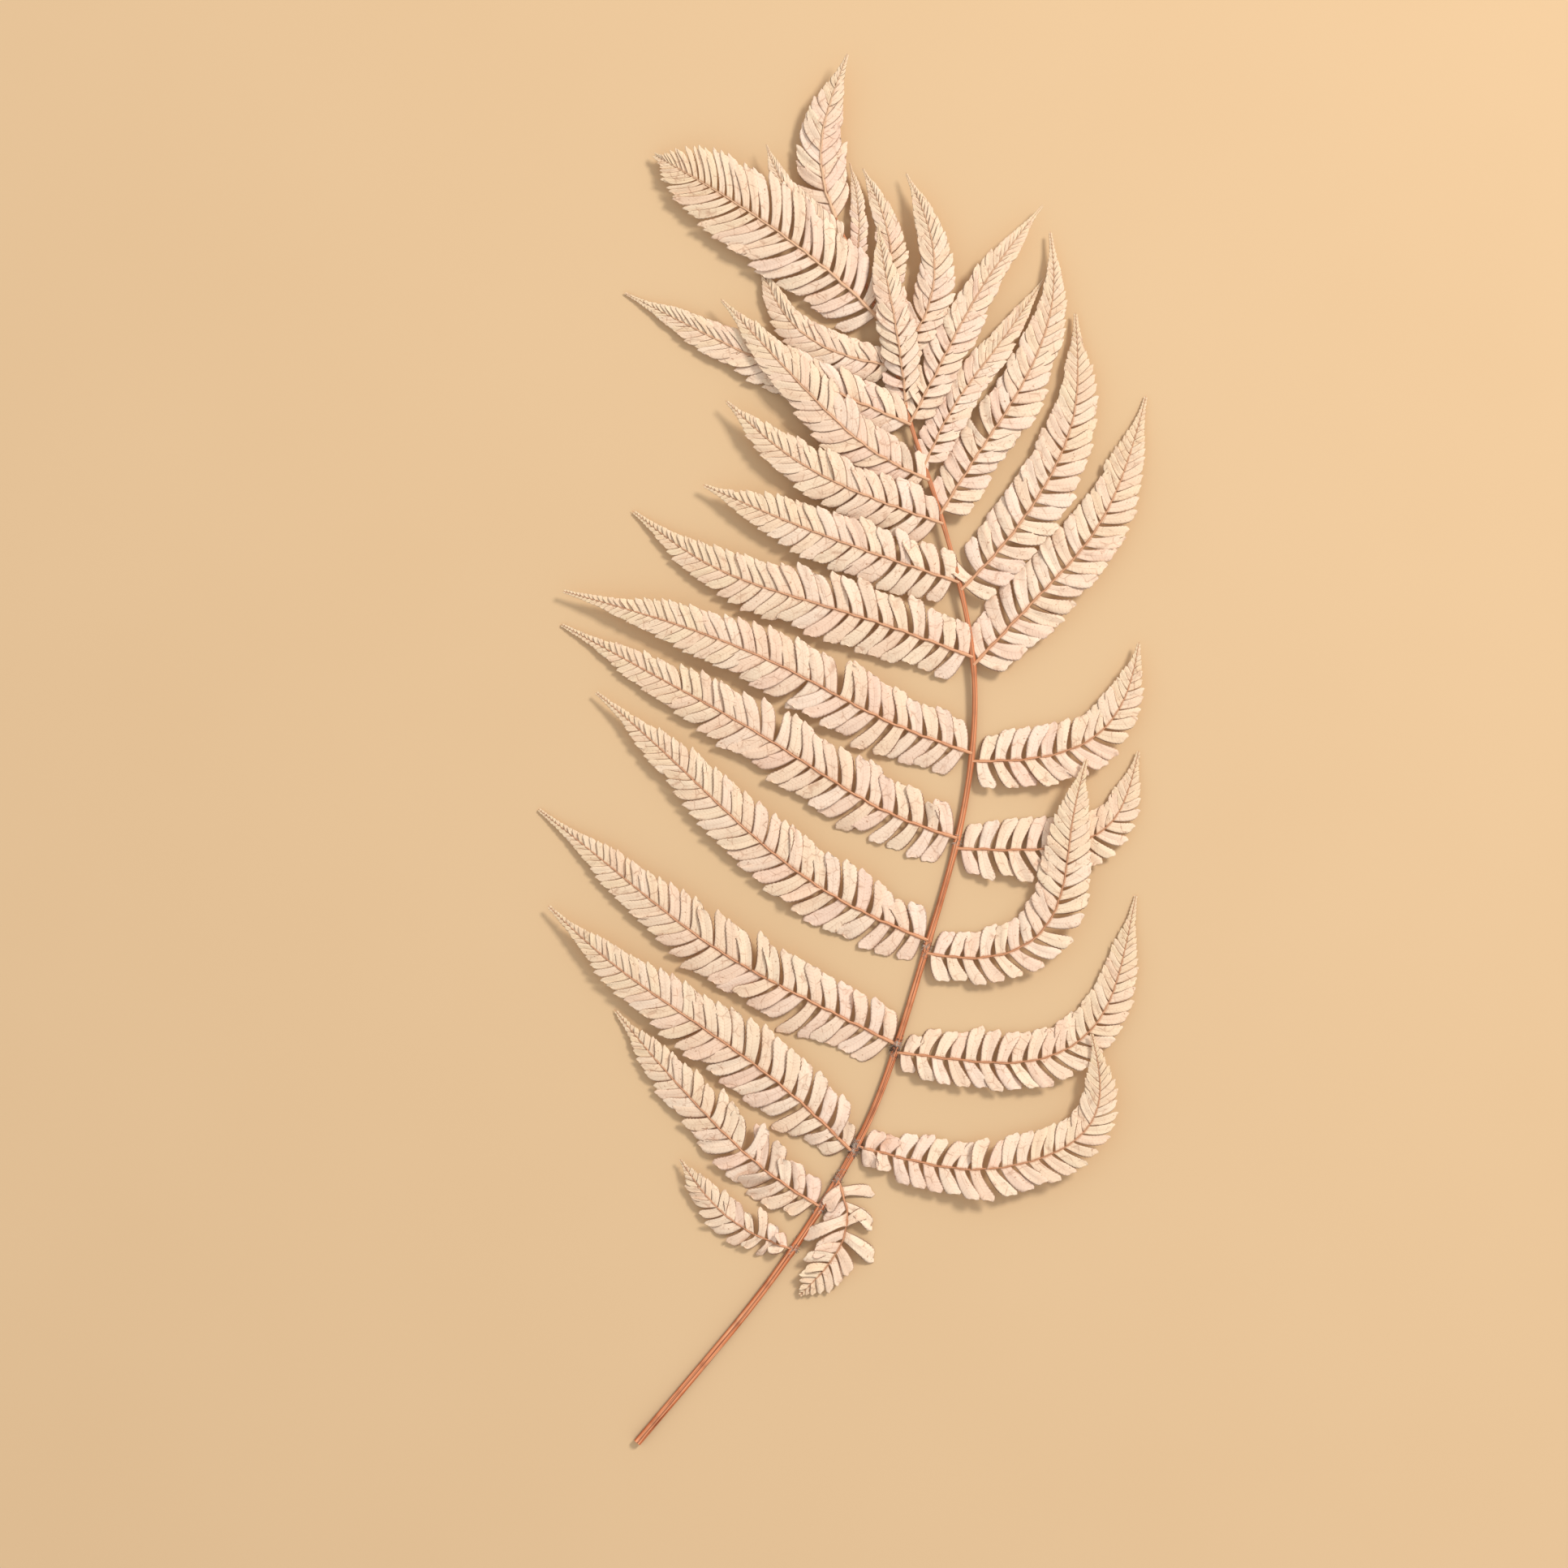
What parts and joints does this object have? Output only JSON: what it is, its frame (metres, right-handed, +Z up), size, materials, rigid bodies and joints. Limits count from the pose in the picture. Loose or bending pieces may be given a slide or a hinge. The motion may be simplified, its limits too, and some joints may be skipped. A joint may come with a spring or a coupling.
{
  "type": "dried fern frond",
  "caption": "Dried, bleached fern frond lying flat: a bare stalk, a curved main rib and side branches cut into blunt leaflets; for display or pressed-flower work.",
  "frame": {"origin": "on the table plane, under the middle of the frond's bounding box", "axes": "+Z up from the table, +Y from the cut end of the stalk towards the tip of the frond, +X to the right seen from above"},
  "size_m": [0.2404, 0.5482, 0.0115],
  "materials": {
    "leaflets": "matte, dry, bleached cream",
    "stalk": "dry rust-brown rib, faint satin"
  },
  "bodies": {
    "root": {"frond": "leaflets"}
  },
  "joints": []
}
